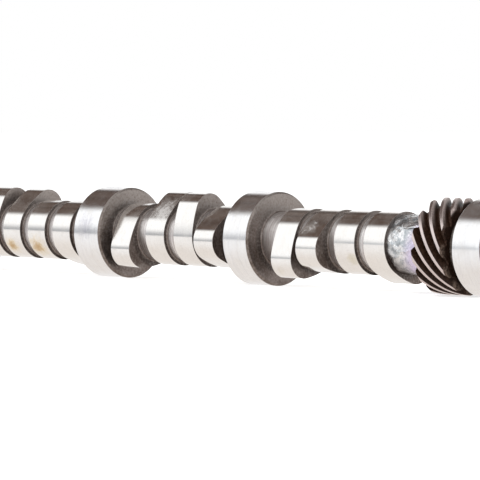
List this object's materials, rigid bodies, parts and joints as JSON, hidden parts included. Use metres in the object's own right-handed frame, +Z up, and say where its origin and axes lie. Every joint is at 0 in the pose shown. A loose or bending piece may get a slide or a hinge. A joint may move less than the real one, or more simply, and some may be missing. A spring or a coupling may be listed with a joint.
{
  "type": "camshaft",
  "caption": "One-piece engine camshaft with ground journals and roller cam lobes, a helical drive gear near the rear journal and a stepped nose with a locating dowel for the timing sprocket.",
  "frame": {"origin": "on the shaft's axis at the middle of the front journal", "axes": "+X along the shaft towards its rear (gear) end, +Z up; the shaft lies level"},
  "size_m": [0.4236, 0.0474, 0.0474],
  "materials": {
    "shaft_steel": "ground bright on journals and lobes, dark as forged between them",
    "dowel_steel": "ground"
  },
  "bodies": {
    "root": {"camshaft": "shaft_steel", "dowel_pin": "dowel_steel"}
  },
  "joints": []
}
